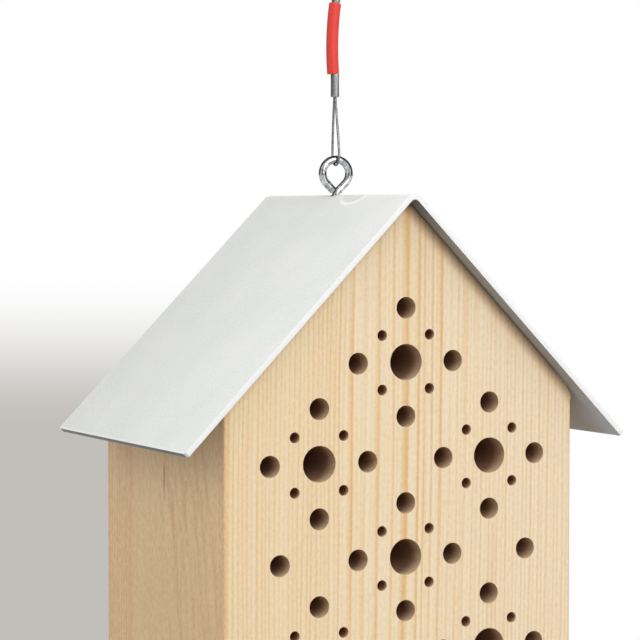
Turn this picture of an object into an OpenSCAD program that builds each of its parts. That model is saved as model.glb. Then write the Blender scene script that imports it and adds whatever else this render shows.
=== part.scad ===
// Hanging bee hotel: a gabled block of solid wood, drilled with blind nesting holes,
// under one bent metal sheet. A screw eye through the ridge clamps the sheet and hangs
// from a short wire rope with a crimped loop at each end and a plastic sleeve between.
// Millimetres, +Z up, front towards -Y. The origin is the top inside of the upper loop,
// the point where the rope bears on the nail or hook that the house hangs from.

/* [Nest block] */
// Width of the block
block_w = 110; // [100:1:160]
// Depth of the block, from the drilled face to the back
block_d = 80; // [74:1:120]
// Height of the block, from its base to the sharp apex before rounding
block_h = 190; // [130:1:260]
// Slope of the gable and of the roof, in degrees
pitch = 45; // [38:1:50]
// Rounding of the block's ridge under the sheet
ridge_round = 3; // [2.5:0.5:6]
// Rounding where a slope meets a side
shoulder_round = 7; // [2:0.5:12]
// Rounding of the four upright edges
edge_round = 0.8; // [0.4:0.1:2]

/* [Nesting holes] */
// Drop from the sharp apex to the centre of the first cluster
first_drop = 45.4; // [42:0.1:60]
// Step between clusters, both down and to the side
cluster_step = 27; // [26:0.5:34]
// How far the drilled pattern lies to the right of the middle
pattern_shift = 0.6; // [-2:0.1:2]
// Reach from a cluster's large hole to its four medium holes
medium_ring = 15; // [14:0.5:17]
// Reach of the small holes, both down and to the side
small_ring = 7.5; // [7:0.25:8]
// Reach from the middle to the single medium holes
single_reach = 39; // [36:0.5:42]
// Diameter of a large hole
large_d = 10; // [8:0.5:11]
// Diameter of a medium hole
medium_d = 6; // [4:0.5:7]
// Diameter of a small hole
small_d = 3; // [2:0.5:3.5]
// Depth of a large hole's straight wall
large_depth = 62; // [40:1:66]
// Depth of a medium hole's straight wall
medium_depth = 54; // [30:1:66]
// Depth of a small hole's straight wall
small_depth = 36; // [20:1:60]
// Angle of the drill's point
drill_point = 118; // [90:1:140]
// Least wood between a hole and the outside of the block
hole_wall = 6; // [4:0.5:8]

/* [Roof sheet] */
// Thickness of the sheet
sheet_t = 1.5; // [1:0.1:2]
// Length of each slope, from the sharp outer ridge to the eave
slope_l = 98; // [88:0.5:130]
// Inside radius of the bend at the ridge
bend_r = 1.5; // [1:0.25:2.5]
// Overhang in front of the drilled face
front_overhang = 6; // [2:0.5:20]
// Overhang behind the block
back_overhang = 2; // [0.5:0.5:20]
// Rounding of the sheet's four corners
sheet_corner = 1.5; // [0.5:0.25:6]

/* [Screw eye] */
// Outer diameter of the ring
eye_d = 10.4; // [9:0.1:14]
// Diameter of the eye's wire
eye_wire = 2.3; // [2:0.1:2.6]
// Height of the ring's centre above the top of the ridge
eye_stand = 6.2; // [6:0.1:9]
// Bend radius between the ring and the shank, at the wire's centre
eye_bend = 2; // [1.6:0.1:2.6]
// Turn of the ring about its shank, in degrees
eye_turn = 8; // [0:1:20]
// Lean of the two legs under the ring, in degrees
leg_angle = 45; // [42:1:50]
// Length of the second leg, down to the cut end of the wire beside the shank
closing_leg_l = 3; // [2.9:0.05:3.2]
// Gap between the cut end and the first leg that it closes against
closing_gap = 0.1; // [0.05:0.05:0.2]
// Length of the shank below the top of the ridge, clear of the topmost nesting hole
eye_shank = 24; // [18:1:25]
// Length of the shank's point
eye_point = 4; // [2:0.5:6]
// Gap round the shank in the sheet
eye_gap = 0.4; // [0.2:0.05:0.8]
// Gap round the shank in its pilot hole
pilot_gap = 0.03; // [0.02:0.01:0.06]

/* [Wire rope] */
// Diameter of the rope
rope_d = 0.7; // [0.5:0.05:0.75]
// Length of the upper loop, from where it bears to its ferrule
upper_loop = 24.4; // [20:0.1:40]
// Length of the lower loop, from its ferrule to the centre of the eye's wire
lower_loop = 18; // [14:0.1:24]
// Length of a ferrule
ferrule_l = 6.6; // [5:0.1:9]
// Wall of a ferrule
ferrule_wall = 0.65; // [0.4:0.05:0.9]
// Distance between the two strands in a ferrule
strand_step = 0.8; // [0.8:0.05:1]
// Gap round the strands in a ferrule
strand_gap = 0.03; // [0.02:0.01:0.08]
// Length of the plastic sleeve
sleeve_l = 20.4; // [15:0.1:30]
// Outer diameter of the sleeve
sleeve_d = 3.5; // [2.8:0.1:4]
// Bore of the sleeve
sleeve_bore = 1.6; // [1.5:0.05:1.8]
// How far the sleeve bows to the side
sleeve_bow = 0.6; // [0.45:0.05:0.65]
// How far the lower ferrule hangs to the side of the upper one
ferrule_shift = 0.3; // [0.2:0.05:0.4]
// How far the sleeve's foot hangs to the side of the strand in it
sleeve_shift = 0.35; // [0.2:0.05:0.35]

/* [Hidden] */
$fn = 96;
overcut = 1;

// Heights down the hanger, all below the origin
upper_ferrule_z = -upper_loop - ferrule_l;
sleeve_z = upper_ferrule_z - sleeve_l;
lower_ferrule_z = sleeve_z - ferrule_l;
swing_z = lower_ferrule_z - lower_loop;

// The eye's wire and ring, and the top of the ridge below it
wire_r = eye_wire / 2;
seat_step = 0.02;
run_r = wire_r - seat_step;
wire_seat = 0.2;
ring_r = (eye_d - eye_wire) / 2;
ring_z = swing_z - ring_r;
ridge_z = ring_z - eye_stand;
bend_run = eye_bend * tan(leg_angle / 2);
bend_start_z = ring_z - ring_r / sin(leg_angle) - bend_run;
first_leg_l = ring_r / tan(leg_angle) - bend_run;

// The sheet's bend, and the sharp apex that the block's two slopes would meet in
bend_outer = bend_r + sheet_t;
bend_z = ridge_z - bend_outer;
apex_z = bend_z + bend_r / cos(pitch);
flat_l = slope_l - bend_outer * tan(pitch);
base_z = apex_z - block_h;

// The shank's line is the middle of the block
front_y = -block_d / 2;
back_y = block_d / 2;
roof_front_y = front_y - front_overhang;
roof_back_y = back_y + back_overhang;
shoulder_z = -block_w / 2 * tan(pitch);
arc_step = 0.01;

// Rows of clusters that fit above the base
last_drop = block_h - hole_wall - medium_ring - medium_d / 2;
last_row = floor((last_drop - first_drop) / cluster_step);

// Where the two strands lie in a ferrule: the run behind, the rope's cut end in front
strand_y = strand_step / 2;
// The sleeve's bow, from its length and its sagitta, a degree over for the level cuts
bow_spare = 1;
bow_r = (sleeve_l * sleeve_l / 4 + sleeve_bow * sleeve_bow) / (2 * sleeve_bow);
bow_angle = 2 * asin(sleeve_l / 2 / bow_r) + bow_spare;
bow_lean = atan((ferrule_shift + sleeve_shift) / sleeve_l);
sleeve_gap = 0.05;

// The rope's route, from its cut end in the lower ferrule down through the eye, up the
// sleeve, round the upper loop and back to its other cut end in the upper ferrule
rope_route = [
    [-0.3, -0.4, -51.6], [-0.3, -0.4, -54.7], [-0.3, -0.4, -58],
    [-0.27, -0.75, -61.3], [-0.2, -1.3, -66], [-0.06, -1.85, -71.5],
    [0, -2.05, -75.2], [0, -1.75, -76.5], [0, -1.05, -77.3], [0, 0, -77.65],
    [0, 1.05, -77.3], [0, 1.75, -76.5], [0, 2.05, -75.2],
    [-0.06, 1.85, -71.5], [-0.2, 1.3, -66], [-0.27, 0.75, -61.3],
    [-0.3, 0.4, -58], [-0.3, 0.4, -54.7], [-0.3, 0.4, -51.5],
    [-0.7, 0.4, -46.3], [-0.85, 0.4, -41.2], [-0.5, 0.4, -36.1],
    [0, 0.4, -30.9], [0, 0.4, -27.7], [0, 0.4, -24.4],
    [0, 1.1, -20.5], [0, 2.3, -14.5], [0, 3.3, -8.5],
    [0, 3.6, -3.2], [0, 3.1, -1.4], [0, 1.8, -0.15], [0, 0, 0.35],
    [0, -1.8, -0.15], [0, -3.1, -1.4], [0, -3.6, -3.2],
    [0, -3.3, -8.5], [0, -2.3, -14.5], [0, -1.1, -20.5],
    [0, -0.4, -24.4], [0, -0.4, -27.7], [0, -0.4, -30.8]
];
rope_sides = 8;

wood_colour = [0.9, 0.8, 0.62];
sheet_colour = [0.86, 0.87, 0.86];
steel_colour = [0.72, 0.73, 0.75];
alloy_colour = [0.6, 0.61, 0.62];
sleeve_colour = [0.9, 0.28, 0.24];

// A blind hole from the front face, with the cone that the drill's point leaves
module blind_hole(x, z, d, depth) {
    tip = d / 2 / tan(drill_point / 2);
    translate([x, front_y, z])
        rotate([-90, 0, 0]) {
            translate([0, 0, -overcut]) cylinder(d = d, h = depth + overcut);
            translate([0, 0, depth]) cylinder(r1 = d / 2, r2 = 0, h = tip);
        }
}

// True where a hole keeps its wall of wood to the sides, the slopes and the base
function keeps_wall(x, drop, d) =
    abs(x) + d / 2 + hole_wall <= block_w / 2
    && (drop * cos(pitch) - abs(x) * sin(pitch)) >= d / 2 + hole_wall
    && drop + d / 2 + hole_wall <= block_h;

// A hole of the pattern, x from the pattern's own middle line
module nesting_hole(x, drop, d, depth) {
    block_x = x + pattern_shift;
    if (keeps_wall(block_x, drop, d)) blind_hole(block_x, apex_z - drop, d, depth);
}

// One large hole, four medium ones round it and four small ones on the diagonals
module cluster(x, drop) {
    nesting_hole(x, drop, large_d, large_depth);
    for (turn = [0:90:270]) {
        nesting_hole(x + medium_ring * cos(turn), drop + medium_ring * sin(turn),
            medium_d, medium_depth);
    }
    for (side = [-1, 1], rise = [-1, 1]) {
        nesting_hole(x + side * small_ring, drop + rise * small_ring, small_d, small_depth);
    }
}

// Rows with one cluster in the middle alternate with rows of two
module nesting_pattern() {
    for (row = [0:last_row]) {
        drop = first_drop + row * cluster_step;
        middle_row = row % 2 == 0;
        if (middle_row) cluster(0, drop);
        if (!middle_row) {
            for (side = [-1, 1]) cluster(side * cluster_step, drop);
        }
        if (middle_row && row > 0) {
            for (side = [-1, 1]) nesting_hole(side * single_reach, drop, medium_d, medium_depth);
        }
    }
}

// What rounding takes off a sharp corner that points up at the origin, with half of its
// angle to each side. The arc is a hair proud, so that it crosses both sides cleanly
module round_off(r, half) {
    translate([0, -r / sin(half)])
        difference() {
            polygon(2 * r * [
                [0, 0], [cos(half), sin(half)], [0, 1 / sin(half)], [-cos(half), sin(half)]
            ]);
            circle(r = r + arc_step);
        }
}

// The gable's outline, with its sharp apex at the origin of the sketch
module gable_outline() {
    shoulder_half = (90 + pitch) / 2;
    difference() {
        polygon([
            [-block_w / 2, -block_h], [block_w / 2, -block_h],
            [block_w / 2, shoulder_z], [0, 0], [-block_w / 2, shoulder_z]
        ]);
        round_off(ridge_round, 90 - pitch);
        for (side = [-1, 1]) {
            translate([side * block_w / 2, shoulder_z])
                rotate(-side * shoulder_half) round_off(shoulder_round, shoulder_half);
        }
    }
}

// A rectangle with round corners, about the origin of the sketch
module rounded_plan(w, d, r) {
    square([w - 2 * r, d], center = true);
    square([w, d - 2 * r], center = true);
    for (x = [-1, 1], y = [-1, 1]) {
        translate([x * (w / 2 - r), y * (d / 2 - r)]) circle(r = r);
    }
}

module nest_block() {
    color(wood_colour)
    difference() {
        intersection() {
            translate([0, back_y, apex_z])
                rotate([90, 0, 0]) linear_extrude(block_d) gable_outline();
            translate([0, 0, base_z])
                linear_extrude(block_h) rounded_plan(block_w, block_d, edge_round);
        }
        nesting_pattern();
        pilot_hole();
    }
}

// The pilot hole, with the shank's own point at its end
module pilot_hole() {
    r = wire_r + pilot_gap;
    cone_z = ridge_z - eye_shank + eye_point;
    translate([0, 0, cone_z]) cylinder(r = r, h = eye_shank);
    translate([0, 0, cone_z - eye_point]) cylinder(r1 = 0, r2 = r, h = eye_point);
}

// One slope of the sheet, flat, with its bend line at x = 0 and round eave corners
module slope_panel() {
    linear_extrude(sheet_t)
        difference() {
            translate([0, roof_front_y]) square([flat_l, roof_back_y - roof_front_y]);
            translate([flat_l, roof_front_y]) corner_waste();
            translate([flat_l, roof_back_y]) mirror([0, 1]) corner_waste();
        }
}

// What a round corner leaves off a square one, outwards from the corner at the origin
module corner_waste() {
    difference() {
        translate([-sheet_corner, -overcut]) square(sheet_corner + overcut);
        translate([-sheet_corner, sheet_corner]) circle(r = sheet_corner);
    }
}

module roof_sheet() {
    color(sheet_colour)
    difference() {
        translate([0, 0, bend_z]) {
            for (side = [0, 1]) {
                mirror([side, 0, 0]) rotate([0, pitch, 0]) translate([0, 0, bend_r]) slope_panel();
            }
            rotate([90, 0, 0])
                rotate([0, 0, 90 - pitch])
                    rotate_extrude(angle = 2 * pitch)
                        translate([bend_r, -roof_back_y])
                            square([sheet_t, roof_back_y - roof_front_y]);
        }
        translate([0, 0, bend_z]) cylinder(r = wire_r + eye_gap, h = bend_outer + overcut);
    }
}

// A straight length of the eye's wire; what follows goes on from its end. It is a hair
// thinner than the bends and seated in them, so that the whole wire is one body
module wire_run(length) {
    translate([0, 0, -wire_seat]) cylinder(r = run_r, h = length + 2 * wire_seat);
    translate([0, 0, length]) children();
}

// A bend in the eye's wire towards its own +X; what follows goes on from its end
module wire_bend(radius, angle) {
    translate([radius, 0, 0]) {
        rotate([90, 0, 0]) rotate([0, 0, 180 - angle])
            rotate_extrude(angle = angle) translate([radius, 0]) circle(r = wire_r);
        rotate([0, angle, 0]) translate([-radius, 0, 0]) children();
    }
}

// The pointed shank, up to a length h, with its point at the origin
module shank(h) {
    rotate_extrude() polygon([[0, 0], [run_r, eye_point], [run_r, h], [0, h]]);
}

// One wire from the point up: the shank, a bend to the side, the first leg and the ring.
// The second leg comes back down behind the first and closes against it
module screw_eye() {
    tip_z = ridge_z - eye_shank;
    color(steel_colour)
    rotate([0, 0, -eye_turn]) {
        translate([0, 0, tip_z]) shank(bend_start_z + wire_seat - tip_z);
        translate([0, 0, bend_start_z])
            wire_bend(eye_bend, leg_angle)
                wire_run(first_leg_l)
                    rotate([0, 0, 180]) wire_bend(ring_r, 180 + 2 * leg_angle);
        closing_leg();
    }
}

// The second leg, with its end hollowed to fit beside the shank and the first leg, whose
// lines cross just outside the bend between them
module closing_leg() {
    spare_r = wire_r + closing_gap;
    crossing_z = bend_start_z + bend_run;
    difference() {
        translate([-ring_r * cos(leg_angle), 0, ring_z - ring_r * sin(leg_angle)])
            rotate([0, 180 - leg_angle, 0])
                translate([0, 0, -wire_seat]) cylinder(r = run_r, h = closing_leg_l + wire_seat);
        translate([0, 0, crossing_z - 2 * eye_bend]) cylinder(r = spare_r, h = 2 * eye_bend);
        translate([0, 0, crossing_z])
            rotate([0, leg_angle, 0])
                translate([0, 0, -eye_bend]) cylinder(r = spare_r, h = 2 * eye_bend + first_leg_l);
    }
}

// An oval tube pressed round two strands, from z up by its length
module ferrule(x, z) {
    color(alloy_colour)
    translate([x, 0, z])
        linear_extrude(ferrule_l)
            difference() {
                oval(rope_d / 2 + strand_gap + ferrule_wall);
                oval(rope_d / 2 + strand_gap);
            }
}

module oval(r) {
    square([2 * r, strand_step], center = true);
    for (side = [-1, 1]) translate([0, side * strand_y]) circle(r = r);
}

module lower_ferrule() {
    ferrule(-ferrule_shift, lower_ferrule_z);
}

module upper_ferrule() {
    ferrule(0, upper_ferrule_z);
}

// A short bowed tube between the two ferrules, round the run of the rope, its ends
// cut level and a hair short of the ferrules
module cable_sleeve() {
    color(sleeve_colour)
    translate([0, strand_y, upper_ferrule_z])
        intersection() {
            rotate([0, bow_lean, 0])
                translate([bow_r - sleeve_bow, 0, -sleeve_l / 2 / cos(bow_lean)])
                    rotate([90, 0, 0]) rotate([0, 0, 180 - bow_angle / 2])
                        rotate_extrude(angle = bow_angle)
                            translate([bow_r, 0])
                                difference() {
                                    circle(d = sleeve_d);
                                    circle(d = sleeve_bore);
                                }
            translate([-sleeve_d, -sleeve_d, sleeve_gap - sleeve_l])
                cube([2 * sleeve_d, 2 * sleeve_d, sleeve_l - 2 * sleeve_gap]);
        }
}

// Directions for the sweep: along the route, and one side of it carried from ring to ring
function unit(v) = v / norm(v);
function heading(p, k) =
    unit(p[min(k + 1, len(p) - 1)] - p[max(k - 1, 0)]);
function square_to(side, along) = unit(side - (side * along) * along);
function sides_along(p, k = 0, side = [1, 0, 0], found = []) =
    k == len(p) ? found :
    let (next = square_to(side, heading(p, k)))
    sides_along(p, k + 1, next, concat(found, [next]));

// A tube swept along the route's own points, one ring to a point
module swept_tube(p, d, sides) {
    across = sides_along(p);
    rings = [
        for (k = [0:len(p) - 1])
            let (along = heading(p, k), u = across[k], v = cross(along, u))
            for (s = [0:sides - 1])
                p[k] + d / 2 * (cos(360 * s / sides) * u + sin(360 * s / sides) * v)
    ];
    last = (len(p) - 1) * sides;
    walls = [
        for (k = [0:len(p) - 2], s = [0:sides - 1])
            let (a = k * sides + s, b = k * sides + (s + 1) % sides)
            for (face = [[a, b, b + sides], [a, b + sides, a + sides]]) face
    ];
    start_cap = [for (s = [sides - 1:-1:0]) s];
    end_cap = [for (s = [0:sides - 1]) last + s];
    polyhedron(points = rings, faces = concat(walls, [start_cap, end_cap]));
}

module hanging_cable() {
    color(steel_colour) swept_tube(rope_route, rope_d, rope_sides);
}

nest_block();
roof_sheet();
screw_eye();
hanging_cable();
lower_ferrule();
upper_ferrule();
cable_sleeve();
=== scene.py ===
# %% [markdown]
# # A hanging bee hotel
#
# A gabled block of softwood is drilled with nesting holes for solitary bees and sits under one
# bent sheet of powder-coated metal. A screw eye goes through the sheet into the ridge. A short
# wire rope with a pressed loop at each end hangs the house from a nail, and a red plastic tube
# covers the rope between its two ferrules.
#
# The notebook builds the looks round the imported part, which is loaded first as a fixed frame.
# Everything is in metres, and the origin is the top inside of the upper loop.

# %% Load the part
import math

import bmesh
import bpy
from mathutils import Matrix, Vector


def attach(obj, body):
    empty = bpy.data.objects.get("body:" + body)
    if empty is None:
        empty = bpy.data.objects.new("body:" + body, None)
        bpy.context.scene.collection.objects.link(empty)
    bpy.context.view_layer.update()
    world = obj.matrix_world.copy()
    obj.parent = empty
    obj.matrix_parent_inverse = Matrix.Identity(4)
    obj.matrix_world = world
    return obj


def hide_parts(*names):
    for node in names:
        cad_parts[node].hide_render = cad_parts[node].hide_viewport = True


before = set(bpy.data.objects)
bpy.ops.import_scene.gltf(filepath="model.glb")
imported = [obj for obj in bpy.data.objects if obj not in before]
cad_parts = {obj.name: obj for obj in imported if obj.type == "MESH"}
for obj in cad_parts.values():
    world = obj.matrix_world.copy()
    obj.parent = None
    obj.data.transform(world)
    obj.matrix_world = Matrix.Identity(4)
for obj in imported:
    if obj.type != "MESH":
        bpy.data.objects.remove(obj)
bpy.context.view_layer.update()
print("nodes:", sorted(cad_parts))

MM = 0.001
# Places that differ by less than this count as the same
near = 0.001 * MM

# %% [markdown]
# The camera comes first. Its place was worked out from the regular lattice of the drilled
# holes: it stands to the left of the house, a little above the topmost cluster, and looks
# down very slightly through a long lens.

# %% The camera
camera_place = (-335.07 * MM, -627.06 * MM, -91.21 * MM)
camera_azimuth = 27.75
camera_pitch = 2.516
camera_lens = 138.05
sensor_width = 36.0

camera_data = bpy.data.cameras.new("photo_camera")
camera_data.lens = camera_lens
camera_data.sensor_width = sensor_width
camera_data.clip_start = 0.01
camera = bpy.data.objects.new("photo_camera", camera_data)
bpy.context.scene.collection.objects.link(camera)
camera.location = camera_place
camera.rotation_euler = (math.radians(90 - camera_pitch), 0, math.radians(-camera_azimuth))
bpy.context.scene.camera = camera
print("camera %.0f mm from the line of the rope" % (Vector(camera_place).xy.length / MM))

# %% [markdown]
# Every piece but the rope starts from a primitive and is shaped in edit mode. Edit-mode
# operators work on what is selected, so small helpers keep the selection under control: one
# clears it, one opens a new primitive with nothing on it selected, one picks faces, edges or
# points by a test on their place, one pushes out what is picked, and one closes the piece with
# its faces turned outwards.

# %% Helpers for edit mode
def start_clean():
    """Leaves edit mode and deselects every piece, before the next primitive is added."""
    if bpy.context.object and bpy.context.object.mode != "OBJECT":
        bpy.ops.object.mode_set(mode="OBJECT")
    bpy.ops.object.select_all(action="DESELECT")


def open_piece(name, kind="FACE"):
    """Names the new primitive, opens it in edit mode and deselects all of it."""
    piece = bpy.context.object
    piece.name = name
    piece.data.name = name
    bpy.ops.object.transform_apply(location=True, rotation=True, scale=True)
    bpy.ops.object.mode_set(mode="EDIT")
    bpy.ops.mesh.select_mode(type=kind)
    bpy.ops.mesh.select_all(action="DESELECT")
    return piece


def pick(piece, kind, test):
    """Selects only the faces, edges or points whose middle passes the test."""
    bpy.ops.mesh.select_mode(type=kind)
    bpy.ops.mesh.select_all(action="DESELECT")
    mesh = bmesh.from_edit_mesh(piece.data)
    parts = {"VERT": mesh.verts, "EDGE": mesh.edges, "FACE": mesh.faces}[kind]
    found = 0
    for part in parts:
        points = [part.co] if kind == "VERT" else [v.co for v in part.verts]
        middle = sum(points, Vector()) / len(points)
        if test(middle, part):
            part.select_set(True)
            found += 1
    mesh.select_flush_mode()
    bmesh.update_edit_mesh(piece.data)
    return found


def push_out(move):
    """Extrudes what is selected by a move."""
    bpy.ops.mesh.extrude_region_move(TRANSFORM_OT_translate={"value": move})


def close_piece(piece, smooth_angle=30):
    """Turns the faces outwards, leaves edit mode and smooths what is flatter than an angle."""
    bpy.ops.mesh.select_all(action="SELECT")
    bpy.ops.mesh.normals_make_consistent(inside=False)
    bpy.ops.object.mode_set(mode="OBJECT")
    bpy.ops.object.shade_smooth_by_angle(angle=math.radians(smooth_angle))
    return piece


# %% [markdown]
# A modifier is applied as soon as it is added, so that each step works on a finished mesh. Holes
# are cut as on a bench: a round bar takes the place of the drill, and a boolean takes it away.

# %% Helpers for modifiers and cutters
def apply_modifier(piece, kind, **settings):
    """Adds a modifier with its settings, and applies it at once."""
    modifier = piece.modifiers.new(kind.lower(), kind)
    for key, value in settings.items():
        setattr(modifier, key, value)
    bpy.ops.object.select_all(action="DESELECT")
    piece.select_set(True)
    bpy.context.view_layer.objects.active = piece
    bpy.ops.object.modifier_apply(modifier=modifier.name)


def break_edges(piece, width, segments, sharper_than):
    """Bevels each edge at which the surface turns by more than an angle in degrees."""
    limit = {"limit_method": "ANGLE", "angle_limit": math.radians(sharper_than)}
    apply_modifier(piece, "BEVEL", width=width, segments=segments, **limit)


def round_bar(name, radius, start, length, tilt=0.0, turn=0.0):
    """A cylinder from a point on, upright or tilted towards +X and then turned about Z."""
    start_clean()
    along = Matrix.Rotation(turn, 3, "Z") @ Vector((math.sin(tilt), 0, math.cos(tilt)))
    bpy.ops.mesh.primitive_cylinder_add(
        vertices=48,
        radius=radius,
        depth=length,
        location=start + along * length / 2,
        rotation=(0, tilt, turn),
    )
    bar = bpy.context.object
    bar.name = name
    bpy.ops.object.transform_apply(location=True, rotation=True, scale=True)
    return bar


def cut_with(piece, cutter, **settings):
    """Takes the cutter away from the piece, and then deletes the cutter."""
    settings = {"operation": "DIFFERENCE", "solver": "EXACT", "object": cutter, **settings}
    apply_modifier(piece, "BOOLEAN", **settings)
    bpy.data.objects.remove(cutter)


# %% [markdown]
# ## The wire rope
#
# A thin wire rope is six strands laid round a core, so its outline is lobed and the lobes run
# round it in a long screw. Real strands would be tiny threads, so here one lobed outline is
# carried along the rope's route and turned as it goes. The route goes from the cut end in the
# lower ferrule down through the eye, up through the sleeve, round the upper loop and back to
# the other cut end in the upper ferrule.

# %% The rope's route
rope_d = 0.7 * MM
route_step = 0.25 * MM
rope_points_mm = [
    (-0.3, -0.4, -51.6), (-0.3, -0.4, -54.7), (-0.3, -0.4, -58),
    (-0.27, -0.75, -61.3), (-0.2, -1.3, -66), (-0.06, -1.85, -71.5),
    (0, -2.05, -75.2), (0, -1.75, -76.5), (0, -1.05, -77.3), (0, 0, -77.65),
    (0, 1.05, -77.3), (0, 1.75, -76.5), (0, 2.05, -75.2),
    (-0.06, 1.85, -71.5), (-0.2, 1.3, -66), (-0.27, 0.75, -61.3),
    (-0.3, 0.4, -58), (-0.3, 0.4, -54.7), (-0.3, 0.4, -51.5),
    (-0.7, 0.4, -46.3), (-0.85, 0.4, -41.2), (-0.5, 0.4, -36.1),
    (0, 0.4, -30.9), (0, 0.4, -27.7), (0, 0.4, -24.4),
    (0, 1.1, -20.5), (0, 2.3, -14.5), (0, 3.3, -8.5),
    (0, 3.6, -3.2), (0, 3.1, -1.4), (0, 1.8, -0.15), (0, 0, 0.35),
    (0, -1.8, -0.15), (0, -3.1, -1.4), (0, -3.6, -3.2),
    (0, -3.3, -8.5), (0, -2.3, -14.5), (0, -1.1, -20.5),
    (0, -0.4, -24.4), (0, -0.4, -27.7), (0, -0.4, -30.8),
]


def smooth_route(points, step):
    """Points a step apart on a smooth curve through the given ones."""
    ends = [2 * points[0] - points[1]] + points + [2 * points[-1] - points[-2]]
    fine = []
    # From b to c runs a cubic, whose slopes at its two ends come from the points on either side
    for a, b, c, d in zip(ends, ends[1:], ends[2:], ends[3:]):
        count = max(2, round((c - b).length / step))
        ta = (c - a) * ((c - b).length / ((c - b).length + (b - a).length))
        tb = (d - b) * ((c - b).length / ((d - c).length + (c - b).length))
        for k in range(count):
            t = k / count
            fine.append(
                (2 * t**3 - 3 * t**2 + 1) * b
                + (t**3 - 2 * t**2 + t) * ta
                + (3 * t**2 - 2 * t**3) * c
                + (t**3 - t**2) * tb
            )
    fine.append(points[-1])
    return fine


route = smooth_route([Vector(p) * MM for p in rope_points_mm], route_step)
rope_length = sum((b - a).length for a, b in zip(route, route[1:]))
print("rope length %.1f mm in %d points" % (rope_length / MM, len(route)))

# %% The lobed outline carried along the route
strands = 6
outline_points = 36
lay_length = 5.0 * MM
lobe_depth = 0.13


def lobed_outline(turn):
    """The rope's outline round its own middle, as (across, up) pairs."""
    outline = []
    for k in range(outline_points):
        angle = 2 * math.pi * k / outline_points
        bulge = abs(math.cos(strands / 2 * (angle - turn)))
        radius = rope_d / 2 * (1 - lobe_depth + lobe_depth * bulge)
        outline.append((radius * math.cos(angle), radius * math.sin(angle)))
    return outline


def sweep_rope(name, points):
    """Joins a ring of points at each place to the next one, and closes both ends."""
    mesh = bmesh.new()
    rings = []
    across = Vector((1, 0, 0))
    walked = 0.0
    for k, point in enumerate(points):
        ahead = points[min(k + 1, len(points) - 1)]
        behind = points[max(k - 1, 0)]
        along = (ahead - behind).normalized()
        across = (across - across.dot(along) * along).normalized()
        up = along.cross(across)
        if k:
            walked += (point - points[k - 1]).length
        outline = lobed_outline(2 * math.pi * walked / lay_length)
        rings.append([mesh.verts.new(point + a * across + b * up) for a, b in outline])
    for low, high in zip(rings, rings[1:]):
        for k in range(outline_points):
            n = (k + 1) % outline_points
            mesh.faces.new((low[k], low[n], high[n], high[k]))
    mesh.faces.new(list(reversed(rings[0])))
    mesh.faces.new(rings[-1])
    data = bpy.data.meshes.new(name)
    mesh.to_mesh(data)
    mesh.free()
    piece = bpy.data.objects.new(name, data)
    bpy.context.scene.collection.objects.link(piece)
    return piece


start_clean()
rope = sweep_rope("wire_rope", route)
rope.select_set(True)
bpy.context.view_layer.objects.active = rope
bpy.ops.object.shade_smooth_by_angle(angle=math.radians(60))
print("rope faces:", len(rope.data.polygons))

# %% [markdown]
# ## The ferrules
#
# A ferrule is an oval aluminium tube that a tool has pressed onto two runs of the rope. The
# press leaves eight flats along it and squeezes the middle a little. The tube starts as an open
# circle, whose points move onto the pressed outline, is pushed up, and then gets its wall.

# %% One ferrule
ferrule_length = 6.6 * MM
ferrule_wall = 0.62 * MM
flat_reach = 1.0 * MM
strand_apart = 0.8 * MM
ferrule_sides = 32
flat_angle = math.radians(45)
lower_ferrule_foot = Vector((-0.3 * MM, 0, -58.0 * MM))
upper_ferrule_foot = Vector((0, 0, -31.0 * MM))
# Each push up the tube: its share of the length, and how much the press squeezes the end there
press = [(0.12, 1.0), (0.1, 0.975), (0.56, 1.0), (0.1, 1.025), (0.12, 1.0)]


def ferrule_outline(k):
    """A point of the outline: two halves of an octagon, held apart by the rope's second run."""
    angle = 2 * math.pi * (k + 0.5) / ferrule_sides
    off_flat = angle - round(angle / flat_angle) * flat_angle
    reach = flat_reach / math.cos(off_flat)
    side = math.copysign(strand_apart / 2, math.sin(angle))
    return Vector((reach * math.cos(angle), side + reach * math.sin(angle), 0))


def make_ferrule(name, foot):
    start_clean()
    bpy.ops.mesh.primitive_circle_add(vertices=ferrule_sides, radius=flat_reach)
    piece = open_piece(name, "VERT")
    mesh = bmesh.from_edit_mesh(piece.data)
    ring = sorted(mesh.verts, key=lambda v: math.atan2(v.co.y, v.co.x) % (2 * math.pi))
    for k, point in enumerate(ring):
        point.co = ferrule_outline(k) + foot
    bmesh.update_edit_mesh(piece.data)
    bpy.ops.mesh.select_all(action="SELECT")
    for share, squeeze in press:
        push_out((0, 0, share * ferrule_length))
        bpy.ops.transform.resize(value=(squeeze, squeeze, 1), center_override=(foot.x, 0, 0))
    close_piece(piece, smooth_angle=20)
    apply_modifier(piece, "SOLIDIFY", thickness=ferrule_wall, offset=-1, use_rim=True)
    break_edges(piece, width=0.1 * MM, segments=2, sharper_than=50)
    return piece


lower_ferrule = make_ferrule("lower_ferrule_tube", lower_ferrule_foot)
upper_ferrule = make_ferrule("upper_ferrule_tube", upper_ferrule_foot)
print("ferrule faces:", len(lower_ferrule.data.polygons))

# %% [markdown]
# ## The sleeve
#
# The sleeve is a length of soft red tube, pushed onto the rope, so it takes the rope's slight
# bow. A circle spun through a small angle about a far centre gives just that bow. The wall
# comes from a Solidify modifier, and a small bevel rounds the cut ends.

# %% The bowed tube
sleeve_radius = 1.75 * MM
sleeve_wall = 0.95 * MM
sleeve_bow = 0.6 * MM
sleeve_top = Vector((0, 0.4 * MM, -31.05 * MM))
sleeve_foot = Vector((-0.65 * MM, 0.4 * MM, -51.35 * MM))

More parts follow.
